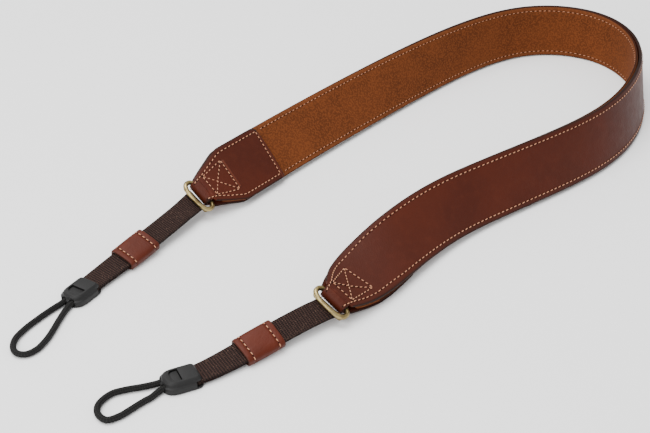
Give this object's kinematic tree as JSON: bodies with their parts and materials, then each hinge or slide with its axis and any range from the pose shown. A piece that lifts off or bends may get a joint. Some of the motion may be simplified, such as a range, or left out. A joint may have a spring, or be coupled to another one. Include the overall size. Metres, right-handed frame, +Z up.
{
  "type": "camera neck strap",
  "caption": "Leather neck strap laid as an open loop, with suede lining, oval brass rings, webbing ends, sliding keepers and quick connectors with cord loops.",
  "frame": {"origin": "centre of the bounding box of everything but the two cord loops, on the surface that the strap lies on", "axes": "+X along the loop's length from its open ends to its bend, +Z up from the surface that it lies on"},
  "size_m": [0.41, 0.1385, 0.0303],
  "materials": {
    "leather": "smooth waxed leather with a soft sheen and cut, burnished edges",
    "suede": "matt napped suede",
    "ring_metal": "pale antique brass, satin",
    "webbing": "close ribbed weave, matt",
    "connector_plastic": "fine satin moulding",
    "cord": "braided sleeve, matt"
  },
  "bodies": {
    "root": {"strap_leather": "leather", "suede_lining": "suede", "ring_far": "ring_metal", "ring_near": "ring_metal", "webbing_far": "webbing", "webbing_near": "webbing", "keeper_far": "leather", "keeper_near": "leather", "connector_housing_far": "connector_plastic", "connector_housing_near": "connector_plastic", "connector_plug_far": "connector_plastic", "connector_plug_near": "connector_plastic", "cord_loop_far": "cord", "cord_loop_near": "cord"}
  },
  "joints": []
}
